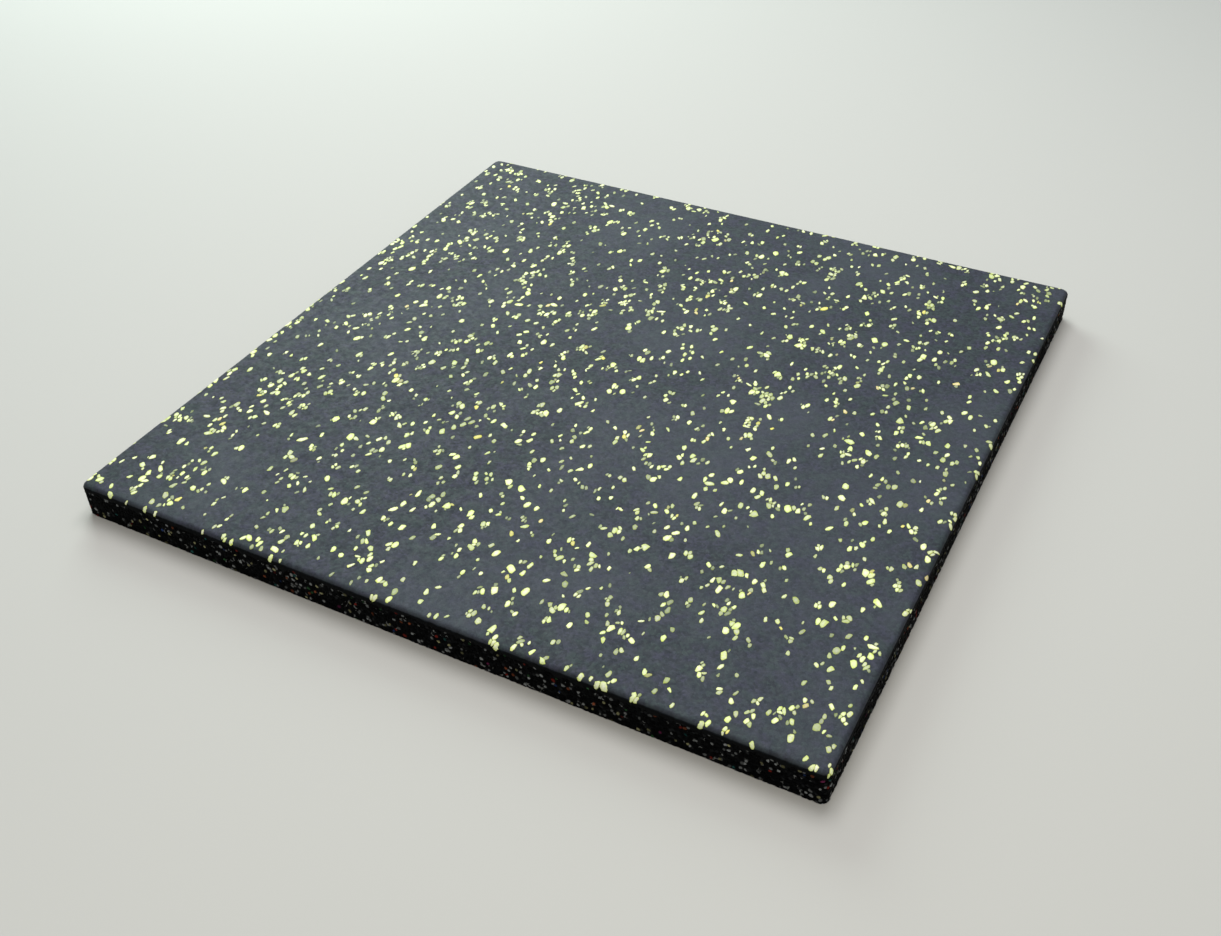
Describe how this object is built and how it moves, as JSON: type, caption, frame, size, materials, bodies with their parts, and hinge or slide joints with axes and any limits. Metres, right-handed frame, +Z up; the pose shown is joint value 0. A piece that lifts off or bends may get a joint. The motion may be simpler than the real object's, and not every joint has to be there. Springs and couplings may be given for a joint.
{
  "type": "rubber floor mat",
  "caption": "Square slab of bonded rubber crumb with pale granules pressed in, a soft top rim and a flat underside, laid as floor covering.",
  "frame": {"origin": "centre of the underside, on the floor", "axes": "+Z up, normal to the top face; +X and +Y along the square's sides"},
  "size_m": [0.5, 0.5, 0.025],
  "materials": {
    "rubber": "matte",
    "pale_granules": "matte",
    "wall_crumb": "matte"
  },
  "bodies": {
    "root": {"mat": "rubber"}
  },
  "joints": []
}
